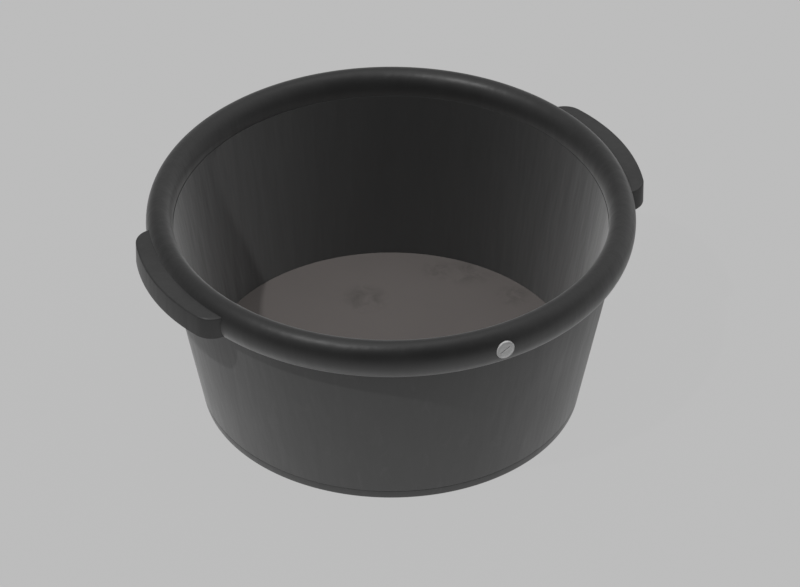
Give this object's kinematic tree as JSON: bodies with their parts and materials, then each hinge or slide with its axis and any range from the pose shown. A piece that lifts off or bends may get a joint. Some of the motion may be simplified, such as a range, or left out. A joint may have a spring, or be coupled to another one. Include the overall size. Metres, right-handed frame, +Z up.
{
  "type": "mortar mixing tub",
  "caption": "Round open mixing tub with a conical wall, a thick rolled rim bead, flat-topped grips on opposite sides and a plug in the rim.",
  "frame": {"origin": "on the ground under the middle of the tub", "axes": "+Z up; X runs through the two grips; the plug in the rim faces -Y"},
  "size_m": [0.642, 0.6001, 0.2772],
  "materials": {
    "black_plastic": "satin black moulded plastic",
    "floor_plastic": "matt black plastic with a warm grey film of mortar",
    "plug_plastic": "light grey moulded plastic",
    "hoop_steel": "bare drawn steel"
  },
  "bodies": {
    "root": {"foot_ring": "black_plastic", "tub_wall": "black_plastic", "tub_floor": "floor_plastic", "rim_bead": "black_plastic", "rim_hoop": "hoop_steel", "rim_plug": "plug_plastic", "grip_right": "black_plastic", "grip_left": "black_plastic"}
  },
  "joints": []
}
